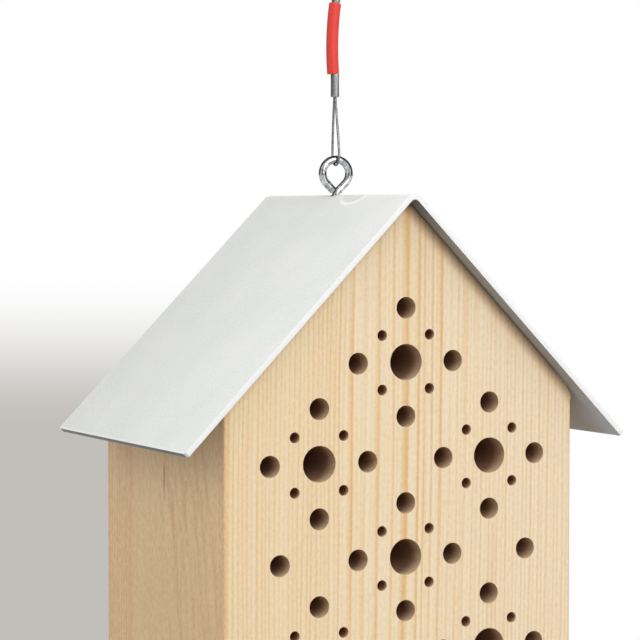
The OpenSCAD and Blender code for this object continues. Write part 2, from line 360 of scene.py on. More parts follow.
chord = sleeve_foot - sleeve_top
bow_radius = (chord.length**2 / 4 + sleeve_bow**2) / (2 * sleeve_bow)
chord_side = Vector((-chord.z, 0, chord.x)).normalized()
bow_centre = (sleeve_top + sleeve_foot) / 2 + chord_side * (bow_radius - sleeve_bow)
bow_angle = 2 * math.asin(chord.length / 2 / bow_radius)
to_top = sleeve_top - bow_centre

start_clean()
bpy.ops.mesh.primitive_circle_add(
    vertices=40,
    radius=sleeve_radius,
    location=sleeve_top,
    rotation=(0, math.atan2(-to_top.z, to_top.x) + math.pi, 0),
)
sleeve = open_piece("red_sleeve", "EDGE")
bpy.ops.mesh.select_all(action="SELECT")
bpy.ops.mesh.spin(
    steps=24, angle=bow_angle, center=bow_centre, axis=(0, 1, 0), use_auto_merge=False
)
close_piece(sleeve)
apply_modifier(sleeve, "SOLIDIFY", thickness=sleeve_wall, offset=-1, use_rim=True)
break_edges(sleeve, width=0.18 * MM, segments=3, sharper_than=50)
print("sleeve bow radius %.0f mm, turned %.1f degrees" % (bow_radius / MM, math.degrees(bow_angle)))

# %% [markdown]
# ## The screw eye
#
# A screw eye is one bent wire. It is made the way the wire is bent: a circle is pushed up the
# shank, spun through a bend to the side, and spun back round the ring. A small walker keeps the
# place, the direction and the side of the wire's end, so that each bend can be given by a
# radius and an angle alone.
#
# The spin operator turns the left-handed way round its axis, hence the order of the product.

# %% The eye's sizes
wire_radius = 1.15 * MM
ring_radius = 4.05 * MM
ring_height = -80.05 * MM
eye_bend = 2.0 * MM
leg_angle = math.radians(45)
eye_turn = math.radians(-8)
shank_tip = -110.25 * MM
shank_point = 4.0 * MM
point_scale = 0.08
foot_z = shank_tip + shank_point
bend_run = eye_bend * math.tan(leg_angle / 2)
crossing = ring_height - ring_radius / math.sin(leg_angle)
first_leg = ring_radius / math.tan(leg_angle) - bend_run
print("straight leg of the eye: %.2f mm" % (first_leg / MM))

# %% The wire, bend by bend
class WireEnd:
    """The free end of the wire: where it is, where it points and which way it bends."""

    def __init__(self, place, along, side):
        self.place, self.along, self.side = place, along, side

    def push(self, length):
        move = length * self.along
        push_out(move)
        self.place = self.place + move

    def bend(self, radius, angle, steps):
        centre = self.place + radius * self.side
        axis = self.side.cross(self.along)
        bpy.ops.mesh.spin(
            steps=steps, angle=angle, center=centre, axis=axis, use_auto_merge=False
        )
        turn = Matrix.Rotation(angle, 3, self.along.cross(self.side))
        self.along, self.side = turn @ self.along, turn @ self.side
        self.place = centre - radius * self.side


start_clean()
bpy.ops.mesh.primitive_circle_add(vertices=32, radius=wire_radius, location=(0, 0, foot_z))
eye = open_piece("screw_eye_wire", "EDGE")
bpy.ops.mesh.select_all(action="SELECT")
side = Vector((math.cos(eye_turn), math.sin(eye_turn), 0))
end = WireEnd(Vector((0, 0, foot_z)), Vector((0, 0, 1)), side)
end.push(crossing - bend_run - foot_z)
end.bend(eye_bend, leg_angle, steps=8)
end.push(first_leg)
end.side = -end.side
end.bend(ring_radius, math.pi + 2 * leg_angle, steps=64)
bpy.ops.mesh.edge_face_add()
print("the ring ends at", [round(c / MM, 2) for c in end.place])

# %% [markdown]
# The other end is drawn down to the screw's point, inside the wood. The second leg closes the
# ring. It is a straight bar that goes on from the ring, and two round cutters hollow its end to
# fit round the shank and the first leg, where the press has squeezed them together.

# %% The point
def is_foot(middle, edge):
    return all(abs(v.co.z - foot_z) < near for v in edge.verts)


foot_edges = pick(eye, "EDGE", is_foot)
push_out((0, 0, -shank_point))
bpy.ops.transform.resize(value=(point_scale, point_scale, 1), center_override=(0, 0, shank_tip))
bpy.ops.mesh.edge_face_add()
close_piece(eye, smooth_angle=40)
print("edges drawn to the point:", foot_edges)

# %% The closing leg
closing_leg = 3.0 * MM
seat = 0.1 * MM
leg_radius = wire_radius - 0.01 * MM
spare_radius = wire_radius + 0.1 * MM
low_crossing = Vector((0, 0, crossing - 2 * eye_bend))
leg_line = Vector((math.sin(leg_angle) * side.x, math.sin(leg_angle) * side.y, math.cos(leg_angle)))
leg = round_bar(
    "closing_leg",
    leg_radius,
    end.place - seat * end.along,
    closing_leg + seat,
    tilt=math.pi - leg_angle,
    turn=eye_turn,
)
cut_with(leg, round_bar("shank_room", spare_radius, low_crossing, 2 * eye_bend))
leg_room = round_bar(
    "leg_room",
    spare_radius,
    Vector((0, 0, crossing)) - eye_bend * leg_line,
    2 * eye_bend + first_leg,
    tilt=leg_angle,
    turn=eye_turn,
)
cut_with(leg, leg_room)
bpy.ops.object.shade_smooth_by_angle(angle=math.radians(40))
start_clean()
leg.select_set(True)
eye.select_set(True)
bpy.context.view_layer.objects.active = eye
bpy.ops.object.join()
print("eye faces:", len(eye.data.polygons))

# %% [markdown]
# ## The roof sheet
#
# The roof is one metal sheet, bent once over the ridge. It starts as the plane of the left
# slope. The plane's upper edge is spun through the bend and then pushed down the right slope.
# The four corners are rounded as points, a Solidify modifier gives the thickness, a drilled
# hole takes the shank, and a bevel breaks every edge. Blender doesn't let a bevel overlap
# itself, so the short edges round the hole keep it very fine on the whole sheet.

# %% The bent sheet
pitch = math.radians(45)
sheet_thick = 1.5 * MM
bend_inner = 1.5 * MM
bend_height = -89.25 * MM
slope_flat = 95.0 * MM
roof_front, roof_back = -46.0 * MM, 42.0 * MM
corner_round = 0.9 * MM
bend_axis_point = Vector((0, 0, bend_height))

down_left = Vector((-math.cos(pitch), 0, -math.sin(pitch)))
down_right = Vector((math.cos(pitch), 0, -math.sin(pitch)))
out_left = Vector((-math.sin(pitch), 0, math.cos(pitch)))
slope_middle = bend_axis_point + out_left * bend_inner + down_left * slope_flat / 2
slope_middle.y = (roof_front + roof_back) / 2

start_clean()
bpy.ops.mesh.primitive_plane_add(size=1, location=slope_middle, rotation=(0, -pitch, 0))
bpy.context.object.scale = (slope_flat, roof_back - roof_front, 1)
roof = open_piece("roof_of_bent_sheet")
top_edge = max(v.co.z for v in roof.data.vertices)
pick(roof, "EDGE", lambda p, e: abs(p.z - top_edge) < near)
bpy.ops.mesh.spin(
    steps=10, angle=-2 * pitch, center=bend_axis_point, axis=(0, 1, 0), use_auto_merge=False
)
push_out(slope_flat * down_right)
eave_height = min(v.co.z for v in bmesh.from_edit_mesh(roof.data).verts)
corners = pick(roof, "VERT", lambda p, v: abs(v.co.z - eave_height) < 10 * near)
bpy.ops.mesh.bevel(offset=corner_round, segments=6, affect="VERTICES")
print("corners rounded:", corners)
close_piece(roof)

# %% The sheet's thickness, its hole and its broken edges
eye_hole_radius = 1.55 * MM
below_bend = Vector((0, 0, -92 * MM))
drill_length = 8 * MM
upper_side = 1 if sum(f.normal.z for f in roof.data.polygons) > 0 else -1
apply_modifier(roof, "SOLIDIFY", thickness=sheet_thick, offset=upper_side, use_rim=True)
cut_with(roof, round_bar("sheet_drill", eye_hole_radius, below_bend, drill_length))
break_edges(roof, width=0.4 * MM, segments=3, sharper_than=40)
bpy.ops.object.shade_smooth_by_angle(angle=math.radians(35))
print("roof faces:", len(roof.data.polygons))

# %% [markdown]
# ## The nest block
#
# The block is one piece of planed softwood. A box gives the walls. Its top is pushed up and
# pinched to a ridge, and bevels round the ridge, the shoulders and the upright edges. Then it
# is drilled: one cutter is modelled for each size of drill, with the cone of the drill's point
# at its end and a slight flare where the fibres at the rim wear away, and it is copied to every
# place in the pattern.

# %% The gabled block
block_w, block_d, block_h = 110 * MM, 80 * MM, 190 * MM
apex = -87.129 * MM
base = apex - block_h
shoulder = apex - block_w / 2 * math.tan(pitch)
front = -block_d / 2
ridge_round, shoulder_round, edge_round = 3 * MM, 7 * MM, 0.8 * MM

start_clean()
bpy.ops.mesh.primitive_cube_add(size=1, location=(0, 0, (base + shoulder) / 2))
bpy.context.object.scale = (block_w, block_d, shoulder - base)
block = open_piece("drilled_nest_block")
pick(block, "FACE", lambda p, f: p.z > shoulder - near)
push_out((0, 0, apex - shoulder))
bpy.ops.transform.resize(value=(0, 1, 1), center_override=(0, 0, 0))
bpy.ops.mesh.select_all(action="SELECT")
bpy.ops.mesh.remove_doubles(threshold=10 * near)
print("gable: %.1f mm high on walls of %.1f mm" % ((apex - shoulder) / MM, (shoulder - base) / MM))

# %% Its rounded ridge, shoulders and upright edges
def runs_along_depth(edge):
    return abs(edge.verts[0].co.y - edge.verts[1].co.y) > block_d / 2


def is_upright_corner(middle, edge):
    runs_upright = abs(edge.verts[0].co.z - edge.verts[1].co.z) > block_h / 3
    return runs_upright and abs(abs(middle.x) - block_w / 2) < near


pick(block, "EDGE", lambda p, e: runs_along_depth(e) and p.z > apex - near)
bpy.ops.mesh.bevel(offset=ridge_round, segments=8, affect="EDGES")
shoulder_tangent = shoulder_round * math.tan((math.pi / 2 - pitch) / 2)
pick(block, "EDGE", lambda p, e: runs_along_depth(e) and abs(p.z - shoulder) < near)
bpy.ops.mesh.bevel(offset=shoulder_tangent, segments=8, affect="EDGES")
corners = pick(block, "EDGE", is_upright_corner)
bpy.ops.mesh.bevel(offset=edge_round, segments=4, affect="EDGES")
close_piece(block)
print("upright edges rounded:", corners)

# %% [markdown]
# A drill of each size is modelled lying along +Y, with its rim just in front of the drilled face. The
# cutters carry their own material, the rougher wall of a drilled hole with painted shade in its
# depth, so the boolean hands that material on to the faces that it cuts.

# %% The drills
drill_point = math.radians(118)
rim_flare = 0.02 * MM
overcut = 1.0 * MM


def nest_drill(name, diameter, depth, sides):
    start_clean()
    radius = diameter / 2
    bpy.ops.mesh.primitive_cylinder_add(
        vertices=sides,
        radius=radius,
        depth=depth - rim_flare,
        location=(0, front + (depth + rim_flare) / 2, 0),
        rotation=(math.radians(90), 0, 0),
    )
    cutter = open_piece(name)
    pick(cutter, "FACE", lambda p, f: p.y > front + depth - near)
    push_out((0, radius / math.tan(drill_point / 2), 0))
    bpy.ops.transform.resize(value=(0, 1, 0), center_override=(0, 0, 0))
    pick(cutter, "FACE", lambda p, f: p.y < front + rim_flare + near and abs(f.normal.y) > 0.9)
    push_out((0, -rim_flare - overcut, 0))
    flare = (radius + rim_flare + overcut) / radius
    bpy.ops.transform.resize(value=(flare, 1, flare), center_override=(0, 0, 0))
    bpy.ops.mesh.select_all(action="SELECT")
    bpy.ops.mesh.remove_doubles(threshold=near)
    return close_piece(cutter)


large_d, medium_d, small_d = 10 * MM, 6 * MM, 3 * MM
drills = {
    large_d: nest_drill("large_drill", large_d, 62 * MM, 64),
    medium_d: nest_drill("medium_drill", medium_d, 54 * MM, 48),
    small_d: nest_drill("small_drill", small_d, 36 * MM, 32),
}
print("drills:", [drill.name for drill in drills.values()])

# %% [markdown]
# The pattern repeats one cluster: a large hole, four medium ones round it and four small ones
# on the diagonals. Rows of one cluster alternate with rows of two, and a hole is left out
# where it would leave less than 6 mm of wood. A hole's height is given as its drop below the
# apex.

# %% The drilled pattern
first_drop, cluster_step = 45.4 * MM, 27 * MM
medium_ring, small_ring, single_reach = 15 * MM, 7.5 * MM, 39 * MM
pattern_shift, hole_wall = 0.6 * MM, 6 * MM
rounding_error = 1e-9


def keeps_wall(x, drop, diameter):
    """Whether a hole leaves enough wood beside it, under the roof and above the foot."""
    reach = diameter / 2 + hole_wall - rounding_error
    beside = abs(x) + reach <= block_w / 2
    above = (drop - abs(x)) * math.cos(pitch) >= reach
    return beside and above and drop + reach <= block_h


def cluster_holes(x, drop):
    """One cluster round a large hole, each hole by its place across, its drop and its size."""
    holes = [(x, drop, large_d)]
    for dx, dz in ((1, 0), (-1, 0), (0, 1), (0, -1)):
        holes.append((x + dx * medium_ring, drop + dz * medium_ring, medium_d))
    for dx, dz in ((1, 1), (1, -1), (-1, 1), (-1, -1)):
        holes.append((x + dx * small_ring, drop + dz * small_ring, small_d))
    return holes


pattern = []
for row in range(5):
    drop = first_drop + row * cluster_step
    if row % 2 == 0:
        pattern += cluster_holes(0, drop)
        if row > 0:
            pattern += [(side * single_reach, drop, medium_d) for side in (-1, 1)]
    else:
        pattern += cluster_holes(-cluster_step, drop) + cluster_holes(cluster_step, drop)
pattern = [(x + pattern_shift, drop, d) for x, drop, d in pattern]
pattern = [hole for hole in pattern if keeps_wall(*hole)]
print("holes drilled:", len(pattern))

# %% [markdown]
# ## Materials
#
# Every finish is worked out in the shader from the place of a point on the piece. Shader maths
# would take dozens of Math nodes laid by hand, so one small class wraps a socket and turns an
# ordinary Python expression into those nodes.

# %% Numbers that change over a surface
class Val:
    """A number that changes over a surface: the output socket of a node."""

    def __init__(self, finish, socket):
        self.finish, self.socket = finish, socket

    def _maths(self, operation, a, b=None):
        sockets = {0: a} if b is None else {0: a, 1: b}
        return self.finish.node("ShaderNodeMath", {"operation": operation}, sockets)

    def __add__(self, other):
        return self._maths("ADD", self, other)

    def __radd__(self, other):
        return self._maths("ADD", other, self)

    def __sub__(self, other):
        return self._maths("SUBTRACT", self, other)

    def __rsub__(self, other):
        return self._maths("SUBTRACT", other, self)

    def __mul__(self, other):
        return self._maths("MULTIPLY", self, other)

    def __rmul__(self, other):
        return self._maths("MULTIPLY", other, self)

    def __truediv__(self, other):
        return self._maths("DIVIDE", self, other)

    def __pow__(self, other):
        return self._maths("POWER", self, other)

    def root(self):
        return self._maths("SQRT", self)

    def size(self):
        """The number without its sign."""
        return self._maths("ABSOLUTE", self)

    def wave(self):
        """A sine of the number, from 0 to 1."""
        return self._maths("SINE", self) * 0.5 + 0.5

    def ramp(self, low, high):
        """0 below low, 1 above high, smooth between; the other way round if low is higher."""
        flip = low > high
        settings = {"interpolation_type": "SMOOTHSTEP"}
        sockets = {"Value": self, "From Min": min(low, high), "From Max": max(low, high)}
        result = self.finish.node("ShaderNodeMapRange", settings, sockets)
        return 1 - result if flip else result


# %% [markdown]
# A finish is one material. Every node in it is added by one method, and what varies over the
# surface is fed to the shader as the number or colour that such an expression ends in.

# %% A finish and its nodes
class Finish:
    """One material, with the point on the piece in millimetres to start from."""

    def __init__(self, name):
        self.material = bpy.data.materials.new(name)
        self.material.use_nodes = True
        self.tree = self.material.node_tree
        self.shader = self.tree.nodes["Principled BSDF"]
        place = self.node("ShaderNodeTexCoord", {}, {}, "Object")
        self.place = self.node(
            "ShaderNodeVectorMath", {"operation": "SCALE"}, {0: place, "Scale": 1 / MM}
        )

    def node(self, kind, settings, sockets, output=0):
        """Adds a node: its settings first, and then a value or a link for each socket."""
        made = self.tree.nodes.new(kind)
        for key, value in settings.items():
            setattr(made, key, value)
        for key, value in sockets.items():
            socket = made.inputs[key]
            if isinstance(value, Val):
                self.tree.links.new(value.socket, socket)
            else:
                socket.default_value = value
        return Val(self, made.outputs[output])

    def set(self, **constants):
        """Sets what is the same all over, on the shader's own sockets."""
        for key, value in constants.items():
            self.shader.inputs[key.replace("_", " ")].default_value = value

    def feed(self, name, value):
        self.tree.links.new(value.socket, self.shader.inputs[name])

    def axes(self):
        split = self.node("ShaderNodeSeparateXYZ", {}, {0: self.place}, "X")
        outputs = split.socket.node.outputs
        return [Val(self, outputs[axis]) for axis in ("X", "Y", "Z")]

    def noise(self, scale, detail=2.0, roughness=0.5):
        """A noise at one scale, or at one for each axis, where the smallest draws it out."""
        where = self.place
        if isinstance(scale, tuple):
            where = self.node("ShaderNodeVectorMath", {"operation": "MULTIPLY"}, {0: where, 1: scale})
            scale = 1.0
        sockets = {"Vector": where, "Scale": scale, "Detail": detail, "Roughness": roughness}
        return self.node("ShaderNodeTexNoise", {}, sockets)

    def mix(self, share, a, b):
        """Two colours mixed, all a at 0 and all b at 1, on the Mix node's colour sockets."""
        sockets = {0: share, 6: a, 7: b}
        return self.node("ShaderNodeMix", {"data_type": "RGBA"}, sockets, 2)

    def bump(self, height, strength, distance):
        sockets = {"Height": height, "Strength": strength, "Distance": distance}
        self.feed("Normal", self.node("ShaderNodeBump", {}, sockets))


# %% Colours
def tone(red, green, blue):
    """A colour as a screen shows it, from 0 to 255, made linear for the shader."""
    parts = [c / 255 for c in (red, green, blue)]
    return [c / 12.92 if c <= 0.04045 else ((c + 0.055) / 1.055) ** 2.4 for c in parts] + [1.0]


# %% [markdown]
# ### The wood
#
# The growth rings run square to the drilled face, so the front shows them as thin upright lines:
# close together on the left, strong and 4 mm apart in the middle, and pale on the right. The
# sides are cut along the rings, so they are warmer and almost plain, with fine lines near the
# back and slow, slanting bands towards the front, where the tree's taper brings the rings out.
#
# A pattern that depends on x alone is plain on a side, and one that depends on y alone is plain
# on the front, so the two can be written apart. A slow noise along the grain lets them wander.

# %% Growth lines on the front
def late_line(place, middle, width):
    """One growth line: the wood darkens slowly across it and turns pale again at once."""
    beyond = place - middle
    return beyond.ramp(-width, 0.0) * beyond.ramp(width * 0.7, width * 0.3)


def ripple(place, spacing, sharpness):
    """Even lines, a spacing apart and narrower the sharper they are."""
    return (place * (2 * math.pi / spacing)).wave() ** sharpness


def front_lines(wood, x):
    """How much late wood shows at a place across the front."""
    bunches = wood.noise((0.11, 0.11, 0.004))
    left_part = x.ramp(-15.0, -24.0)
    right_part = x.ramp(12.0, 22.0)
    uneven = (wood.noise((0.35, 0.35, 0.01), 1.0) - 0.5) * 1.6
    fine = ripple(x + uneven, 1.37, 2.6) * (0.2 + left_part * 0.16 + right_part * 0.14)
    coarse = ripple(x + uneven + 0.4, 2.74, 3.0) * right_part * 0.14
    lines = (fine + coarse) * (0.1 + bunches * 1.8) + left_part * 0.1
    # The strong lines, each with its place across the front, its width and its weight
    strong = [(-20.3, 0.7, 0.3), (-16.6, 1.1, 0.62), (-12.7, 0.8, 0.3), (-8.4, 1.0, 0.55)]
    strong += [(-3.7, 0.9, 0.34), (0.3, 1.9, 0.72), (4.2, 1.0, 0.66), (6.1, 0.7, 0.5)]
    strong += [(8.4, 0.8, 0.44), (11.3, 1.2, 0.5), (14.4, 0.6, 0.2), (16.8, 0.6, 0.2)]
    strong += [(18.8, 0.8, 0.3), (23.0, 0.7, 0.18), (29.5, 0.7, 0.16), (-53.8, 0.8, 0.6)]
    fades = 0.5 + wood.noise((0.25, 0.25, 0.03))
    for middle, width, weight in strong:
        lines = lines + late_line(x, middle, width) * fades * weight
    return lines


# %% Growth lines on the sides
def side_lines(wood, y, z):
    """How much late wood shows at a place across a side."""
    back_part = y.ramp(18.0, 25.0)
    fades = wood.noise((0.1, 0.3, 0.03))
    # A slanting band is furthest forward at 235 mm down, and 14 mm further back 85 mm above that
    lean = (z + 235.0) / 85.0
    slanting = y - lean**2.0 * 14.0 + (fades - 0.5) * 3.0
    lines = ripple(y + z * 0.01, 1.25, 2.0) * back_part * 0.4 + y.ramp(-33.0, -40.0) * 0.2
    lines = lines + y.ramp(8.0, 20.0) * 0.1
    curved = [(-6.4, 1.8, 0.16), (-13.5, 2.8, 0.38), (-18.4, 2.0, 0.2), (-22.7, 2.6, 0.36)]
    curved += [(-25.8, 1.4, 0.18), (-28.5, 2.2, 0.32), (-32.7, 2.1, 0.27), (-38.0, 2.2, 0.27)]
    for middle, width, weight in curved:
        lines = lines + late_line(slanting, middle, width) * (fades + 0.3) * weight
    return lines


# %% [markdown]
# The growth lines are mixed from a pale and a late tone. Over them lie blotches, which show more on
# the sides, a fine fibre, a browner band of painted shade close under the roof, and one short reddish
# streak of resin on the sides. The sides are painted paler towards the top, as painted light against
# the shade under the eaves. The same fibre roughens the planed face a little.

# %% The planed wood
def resin_streak(y, z):
    """The short streak on the side, 10 mm tall and under a millimetre wide."""
    return late_line(y, -1.0, 0.9) * late_line(z, -166.0, 8.0)


def make_wood(name):
    wood = Finish(name)
    x, y, z = wood.axes()
    half_width = block_w / 2 / MM
    wander = wood.noise((0.02, 0.02, 0.007)) - 0.5
    across = x + wander * 2.4 - z * 0.01 - 1.5
    on_side = x.size().ramp(half_width - 1.4, half_width - 0.1)
    streaks = wood.noise((1.3, 1.3, 0.014), 3.0, 0.65)
    broad = wood.noise((0.2, 0.2, 0.006))
    fibres = wood.noise((3.2, 3.2, 0.3), 3.0, 0.7)

    lines = front_lines(wood, across) * (1 - on_side)
    lines = lines + side_lines(wood, y + wander * 3.0, z) * on_side
    mottle = wood.noise((1.1, 1.1, 0.7), 3.0, 0.7)
    lines = lines + (streaks - 0.5) * 0.8 + (broad - 0.5) * 0.6 + (mottle - 0.5) * 0.7

    on_front = wood.mix(x.ramp(-50.0, 40.0), tone(238, 221, 186), tone(239, 224, 195))
    # Painted light: each side's pale tone is lighter towards the top, against the shade under the
    # eaves.
    beside = wood.mix(z.ramp(-208.0, -164.0), tone(242, 210, 162), tone(253, 221, 172))
    pale = wood.mix(on_side, on_front, beside)
    late = wood.mix(on_side, tone(222, 177, 117), tone(220, 161, 115))
    colour = wood.mix(lines.ramp(-0.3, 1.2), pale, late)
    blotches = mottle.ramp(0.36, 0.64) * (0.045 + on_side * 0.085)
    colour = wood.mix(blotches, colour, tone(150, 122, 92))
    colour = wood.mix((fibres - 0.35) * 0.4, colour, tone(205, 160, 108))
    # Painted shade: a browner band along the front, close under the roof.
    below_roof_for_painted_shade = (apex / MM - z - x.size()) / math.sqrt(2.0)
    colour = wood.mix(below_roof_for_painted_shade.ramp(4.5, 0.5) * 0.4, colour, tone(204, 150, 96))
    colour = wood.mix(resin_streak(y, z) * on_side * 0.85, colour, tone(192, 120, 86))
    wood.feed("Base Color", colour)
    wood.feed("Roughness", 0.52 + fibres * 0.14)
    wood.bump(fibres * 0.6 + lines * 0.4, 0.25, 0.0002)
    wood.set(Specular_IOR_Level=0.3)
    return wood


wood = make_wood("planed_softwood")
print("nodes in the wood:", len(wood.tree.nodes))

# %% [markdown]
# A drill cuts across the fibres, so the wall of a hole is rougher than the planed face. Its tone is
# painted shade: paler at the rim and browner in its depth, and in the holes of the thin drill red
# brown almost from the rim on, so the small holes have a finish of their own.

# %% The drilled walls
def make_drilled(name, painted_shade_from, dark, light):
    """The wall of a hole: pale wood at its rim, and browner painted shade from a depth in millimetres
    on.
    """
    drilled = Finish(name)
    _, y, _ = drilled.axes()
    scores = drilled.noise((1.2, 0.5, 1.2), 3.0, 0.6)
    deep = drilled.mix(scores, dark, light)
    rim_tone = drilled.mix(scores, tone(196, 160, 124), tone(238, 216, 182))
    # Painted shade: the wall turns browner with depth, from the paler rim inwards.
    painted_shade_by_depth = (y - front / MM).ramp(0.0, painted_shade_from)
    drilled.feed("Base Color", drilled.mix(painted_shade_by_depth, rim_tone, deep))
    drilled.feed("Roughness", 0.65 + scores * 0.2)
    drilled.bump(scores, 0.3, 0.0002)
    drilled.set(Specular_IOR_Level=0.25)
    return drilled


wide_wall = make_drilled("drilled_wood", 7.0, tone(132, 98, 76), tone(170, 134, 106))
narrow_wall = make_drilled("narrow_hole_painted_shade", 2.0, tone(146, 96, 72), tone(182, 130, 100))

# %% [markdown]
# With the wood finishes made, the block can be drilled. All the cutters are joined into one, which
# takes a single exact boolean, and the pilot hole for the shank follows.

# %% Drill the block
pilot_radius = 1.18 * MM
pilot_length = apex + 5 * MM - shank_tip
block.data.materials.append(wood.material)
for diameter, cutter in drills.items():
    wall = narrow_wall if diameter == small_d else wide_wall
    cutter.data.materials.append(wall.material)
start_clean()
copies = []
for x, drop, diameter in pattern:
    copy = drills[diameter].copy()
    copy.data = drills[diameter].data.copy()
    bpy.context.scene.collection.objects.link(copy)
    copy.data.transform(Matrix.Translation((x, 0, apex - drop)))
    copies.append(copy)
for copy in copies:
    copy.select_set(True)
bpy.context.view_layer.objects.active = copies[0]
bpy.ops.object.join()
all_drills = bpy.context.object
for one in drills.values():
    bpy.data.objects.remove(one)
cut_with(block, all_drills, material_mode="TRANSFER")
cut_with(block, round_bar("pilot_drill", pilot_radius, Vector((0, 0, shank_tip)), pilot_length))
bpy.ops.object.shade_smooth_by_angle(angle=math.radians(30))
print("block faces:", len(block.data.polygons), "materials:", len(block.data.materials))

# %% [markdown]
# ### The powder-coated sheet
#
# The roof has an off-white powder coat: satin, with a very fine orange-peel texture that breaks up
# its shine, and faint larger clouds of tone. The rims of its edges and eaves are a little whiter, a
# painted highlight. The underside is grey, with painted shade in the bend, inwards from the front and
# back and in the seam along the wood, and painted light on its free eaves, beyond the block, less
# towards their middle. The cut at the foot of each slope is painted dark, a painted shade.

# %% The grey underside, with painted shade and painted light
def make_underside():
    """Grey, with painted shade and painted light. Places are in millimetres: x from the ridge and y
    from the block's middle.
    """
    under_finish = Finish("underside_painted_shade_and_light")
    x, y, _ = under_finish.axes()
    clouds = under_finish.noise(0.12, 3.0)
    speckle = under_finish.noise(1.6, 2.0, 0.7)
    # Painted shade: darker in the bend.
    tone_with_bend_shade = under_finish.mix(x.size().ramp(0.0, 14.0), tone(124, 124, 126), tone(172, 171, 170))
    # Painted shade inwards from the front and back, and painted light on the free eaves beyond the
    # block.
    inward_painted_shade = y.size().ramp(44.0, 28.0)
    eave_painted_light = x.size().ramp(52.0, 64.0) * (1 - inward_painted_shade * 0.5)
    colour = under_finish.mix(eave_painted_light, tone_with_bend_shade, tone(200, 208, 220))
    colour = under_finish.mix(inward_painted_shade * 0.5, colour, tone(136, 138, 142))
    paler = (clouds + speckle).ramp(0.7, 1.4) * 0.25
    colour = under_finish.mix(paler, colour, tone(184, 185, 186))
    # Painted shade in the seam along the wood.
    seam_painted_shade = y.size().ramp(42.4, 40.4) * x.size().ramp(54.0, 48.0)
    colour = under_finish.mix(seam_painted_shade * 0.65, colour, tone(70, 66, 62))
    # Painted shade: the cut at the foot of each slope is dark.
    cut_painted_shade = x.size().ramp(68.1, 68.5)
    under_finish.feed("Base Color", under_finish.mix(cut_painted_shade, colour, tone(116, 116, 119)))
    under_finish.feed("Roughness", 0.55 + speckle * 0.12)
    under_finish.bump(speckle, 0.2, 0.0001)
    under_finish.set(Specular_IOR_Level=0.3)
    return under_finish


# %% [markdown]
# The screw eye was driven in with its ring against the left slope, which pressed a shallow dent into
# the sheet in front of it: a hollow over a centimetre long. It is far too shallow to model, so the
# hollow is a height in the coating's bump with a slightly darker tone of painted shade, and its lower
# edge has a paler tone, a painted highlight.

# %% The dent
dent_x, dent_y = -1.4, -13.4
dent_half_width, dent_half_length = 2.3, 6.8


def dent_edge(x, y):
    """How far a place in millimetres is from the dent's middle, 1 at its edge."""
    across = (x - dent_x) / dent_half_width
    along = (y - dent_y) / dent_half_length
    return (across**2.0 + along**2.0).root()


# %% The coating
def make_coating():
    coat = Finish("off_white_powder_coat")
    x, y, _ = coat.axes()
    clouds = coat.noise(0.05, 3.0)
    speckle = coat.noise(1.6, 2.0, 0.7)
    shade = clouds * 0.35 + speckle * 0.65
    middle_y = (roof_front + roof_back) / 2 / MM
    half_depth = (roof_back - roof_front) / 2 / MM
    # Painted highlights: the rims of the front and back edges and of the eaves are whiter.
    edge_painted_highlight = (y - middle_y).size().ramp(half_depth - 0.35, half_depth - 0.1)
    eave_painted_highlight = x.size().ramp(68.5, 69.0)
    edge = dent_edge(x, y)
    left_slope = x.ramp(-0.4, -1.8)
    # Painted shade in the dent's hollow, and a painted highlight round its lower edge.
    hollow = edge.ramp(1.1, 0.7) * left_slope
    dent_painted_highlight = edge.ramp(0.8, 1.0) * edge.ramp(1.3, 1.05) * left_slope * y.ramp(-6.0, -13.0)
    colour = coat.mix(shade.ramp(0.32, 0.68), tone(222, 224, 220), tone(233, 234, 231))
    colour = coat.mix(hollow * 0.3, colour, tone(206, 207, 204))
    colour = coat.mix(dent_painted_highlight * 0.8, colour, tone(250, 250, 249))
    colour = coat.mix(eave_painted_highlight, colour, tone(236, 237, 235))
    coat.feed("Base Color", coat.mix(edge_painted_highlight, colour, tone(239, 240, 239)))
    coat.feed("Roughness", 0.55 + speckle * 0.12)
    coat.bump(speckle * 0.1 - hollow * 0.3, 1.0, 0.001)
    coat.set(Specular_IOR_Level=0.15)
    return coat


# %% [markdown]
# The faces that look down take the underside's finish. The facets of the broken edges are far smaller
# than these, and they keep the coat, whichever way they look.

# %% Coat the roof
coating = make_coating()
underside = make_underside()
facet_area = (2 * MM) ** 2
roof.data.materials.clear()
roof.data.materials.append(coating.material)
roof.data.materials.append(underside.material)
for face in roof.data.polygons:
    if face.normal.z < -0.4 and face.area > facet_area:
        face.material_index = 1
print("bare faces:", sum(face.material_index for face in roof.data.polygons))

# %% [markdown]
# ### The metals and the plastic
#
# The eye is bright zinc plate with small blotches, the rope is duller steel, the ferrules are
# aluminium with scratches from the pressing tool along them, and the sleeve is satin plastic.

# %% Zinc, steel and aluminium
def make_metal(name, dark, light, roughness, bumpiness, scale):
    """A metal whose tone, shine and height change together from blotch to blotch."""
    metal = Finish(name)
    blotch = metal.noise(scale, 3.0, 0.6)
    least, most = roughness
    metal.feed("Base Color", metal.mix(blotch.ramp(0.35, 0.65), dark, light))
    metal.feed("Roughness", least + blotch * (most - least))
    metal.bump(blotch, bumpiness, 0.0002)
    metal.set(Metallic=1.0)
    return metal


zinc = make_metal("bright_zinc", tone(150, 151, 154), tone(214, 215, 217), (0.08, 0.22), 0.2, 0.8)
steel = make_metal("rope_steel", tone(112, 113, 116), tone(164, 166, 168), (0.42, 0.56), 0.05, 2.0)
along_tube = (5.0, 5.0, 0.2)
alloy = make_metal(
    "pressed_aluminium", tone(122, 123, 125), tone(172, 173, 175), (0.42, 0.56), 0.15, along_tube
)


